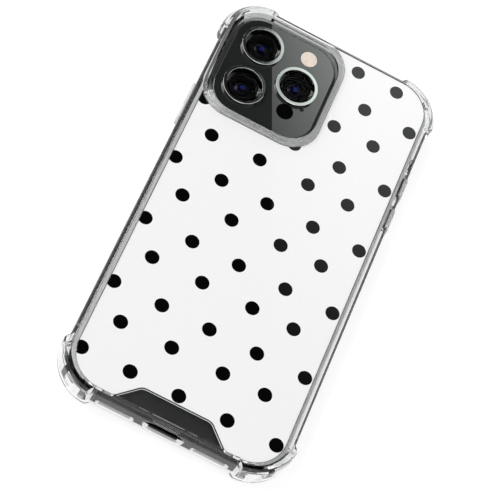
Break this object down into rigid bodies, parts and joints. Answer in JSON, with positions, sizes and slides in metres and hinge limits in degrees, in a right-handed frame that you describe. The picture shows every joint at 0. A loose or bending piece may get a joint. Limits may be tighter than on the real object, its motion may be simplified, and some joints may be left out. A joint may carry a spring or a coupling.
{
  "type": "cased smartphone",
  "caption": "Smartphone in a clear two-material case: a white back plate with black polka dots, a soft clear frame with corner bumpers, and a raised camera ring.",
  "frame": {"origin": "middle of the footprint, on the plane of the case's front lip", "axes": "+X to the right when looking at the back, +Y towards the camera end, +Z out of the printed back"},
  "size_m": [0.0776, 0.1528, 0.0122],
  "materials": {
    "clear_plate": "clear hard plastic, polished",
    "white_print": "white print under a gloss varnish",
    "black_print": "black print under a gloss varnish",
    "clear_soft": "clear soft plastic, glossy",
    "graphite_steel": "polished graphite-coloured steel",
    "antenna_plastic": "matte dark plastic",
    "back_glass": "matte dark glass",
    "plateau_glass": "glossy graphite glass",
    "front_glass": "black display cover glass",
    "display": "unlit display panel",
    "chassis_metal": "bead-blasted aluminium",
    "polished_ring": "polished steel ring",
    "lens_cover": "clear scratch-proof cover",
    "lens_black": "matt black barrel",
    "coated_lens": "lens with a blue-violet coating",
    "module_can": "pressed steel can",
    "sensor_board": "sensor on its board",
    "bracket_steel": "stamped steel",
    "flash_lens": "frosted flash lens",
    "flash_lamp": "lamp phosphor",
    "dark_window": "black infrared window",
    "mic_mesh": "fine black mesh",
    "contact": "gold-plated contact",
    "port_metal": "stamped port shell",
    "screw_steel": "dark steel screw",
    "circuit_board": "solder-masked board",
    "battery_pouch": "black pouch",
    "copper_coil": "enamelled copper turns",
    "magnet": "nickel-plated magnets",
    "speaker_box": "moulded speaker box",
    "dense_metal": "sintered heavy metal"
  },
  "bodies": {
    "phone": {"steel_band": "graphite_steel", "antenna_breaks": "antenna_plastic", "back_glass": "back_glass", "front_glass": "front_glass", "display_panel": "display", "chassis_plate": "chassis_metal", "camera_plateau": "plateau_glass", "image_sensors": "sensor_board", "camera_bracket": "bracket_steel", "flash_lens": "flash_lens", "flash_emitter": "flash_lamp", "depth_sensor_window": "dark_window", "depth_sensor": "module_can", "rear_microphone": "mic_mesh", "power_contact": "contact", "volume_contacts": "contact", "mute_contact": "contact", "sim_tray": "graphite_steel", "charging_port": "port_metal", "bottom_screws": "screw_steel", "main_board": "circuit_board", "board_shields": "module_can", "battery": "battery_pouch", "wireless_coil": "copper_coil", "magnet_ring": "magnet", "bottom_speaker": "speaker_box", "earpiece_speaker": "speaker_box", "front_camera": "module_can", "port_board": "circuit_board", "bottom_microphone": "module_can", "vibration_housing": "module_can", "upper_lens_ring": "polished_ring", "lower_lens_ring": "polished_ring", "side_lens_ring": "polished_ring", "upper_lens_cover": "lens_cover", "lower_lens_cover": "lens_cover", "side_lens_cover": "lens_cover", "upper_camera_can": "module_can", "lower_camera_can": "module_can", "side_camera_can": "module_can"},
    "case": {"back_plate": "clear_plate", "print_film": "white_print", "print_dots": "black_print", "bumper": "clear_soft"},
    "power_cover": {"power_button_cover": "clear_soft"},
    "volume_up_key_cover": {"volume_up_cover": "clear_soft"},
    "volume_down_key_cover": {"volume_down_cover": "clear_soft"},
    "power_key": {"power_button": "graphite_steel"},
    "volume_up_key": {"volume_up_button": "graphite_steel"},
    "volume_down_key": {"volume_down_button": "graphite_steel"},
    "mute_lever": {"mute_switch": "graphite_steel"},
    "upper_focus": {"upper_lens_barrel": "lens_black", "upper_lens_element": "coated_lens"},
    "lower_focus": {"lower_lens_barrel": "lens_black", "lower_lens_element": "coated_lens"},
    "side_focus": {"side_lens_barrel": "lens_black", "side_lens_element": "coated_lens"},
    "vibration_weight": {"vibration_mass": "dense_metal"}
  },
  "joints": [
    {"name": "case_lift", "type": "slide", "parent": "phone", "child": "case", "axis": [0, 0, 1], "range_m": [0, 0.03], "deforming": ["bumper"]},
    {"name": "power_cover_press", "type": "slide", "parent": "case", "child": "power_cover", "axis": [1, 0, 0], "range_m": [0, 0.00025], "stiffness_N_per_m": 500, "springref_m": -0.0006},
    {"name": "volume_up_cover_press", "type": "slide", "parent": "case", "child": "volume_up_key_cover", "axis": [-1, 0, 0], "range_m": [0, 0.00025], "stiffness_N_per_m": 500, "springref_m": -0.0006},
    {"name": "volume_down_cover_press", "type": "slide", "parent": "case", "child": "volume_down_key_cover", "axis": [-1, 0, 0], "range_m": [0, 0.00025], "stiffness_N_per_m": 500, "springref_m": -0.0006},
    {"name": "power_key_press", "type": "slide", "parent": "phone", "child": "power_key", "axis": [1, 0, 0], "range_m": [0, 0.00025], "stiffness_N_per_m": 500, "springref_m": -0.0006},
    {"name": "volume_up_key_press", "type": "slide", "parent": "phone", "child": "volume_up_key", "axis": [-1, 0, 0], "range_m": [0, 0.00025], "stiffness_N_per_m": 500, "springref_m": -0.0006},
    {"name": "volume_down_key_press", "type": "slide", "parent": "phone", "child": "volume_down_key", "axis": [-1, 0, 0], "range_m": [0, 0.00025], "stiffness_N_per_m": 500, "springref_m": -0.0006},
    {"name": "mute_slide", "type": "slide", "parent": "phone", "child": "mute_lever", "axis": [0, 0, 1], "range_m": [0, 0.0012]},
    {"name": "upper_focus_travel", "type": "slide", "parent": "phone", "child": "upper_focus", "axis": [0, 0, 1], "range_m": [0, 0.00025], "stiffness_N_per_m": 100, "springref_m": -0.0005},
    {"name": "lower_focus_travel", "type": "slide", "parent": "phone", "child": "lower_focus", "axis": [0, 0, 1], "range_m": [0, 0.00025], "stiffness_N_per_m": 100, "springref_m": -0.0005},
    {"name": "side_focus_travel", "type": "slide", "parent": "phone", "child": "side_focus", "axis": [0, 0, 1], "range_m": [0, 0.00025], "stiffness_N_per_m": 100, "springref_m": -0.0005},
    {"name": "vibration_slide", "type": "slide", "parent": "phone", "child": "vibration_weight", "axis": [1, 0, 0], "range_m": [-0.0005, 0.0005], "stiffness_N_per_m": 500}
  ],
  "couplings": [
    {"joint": "power_key_press", "follows": "power_cover_press", "ratio": 1},
    {"joint": "volume_up_key_press", "follows": "volume_up_cover_press", "ratio": 1},
    {"joint": "volume_down_key_press", "follows": "volume_down_cover_press", "ratio": 1}
  ]
}
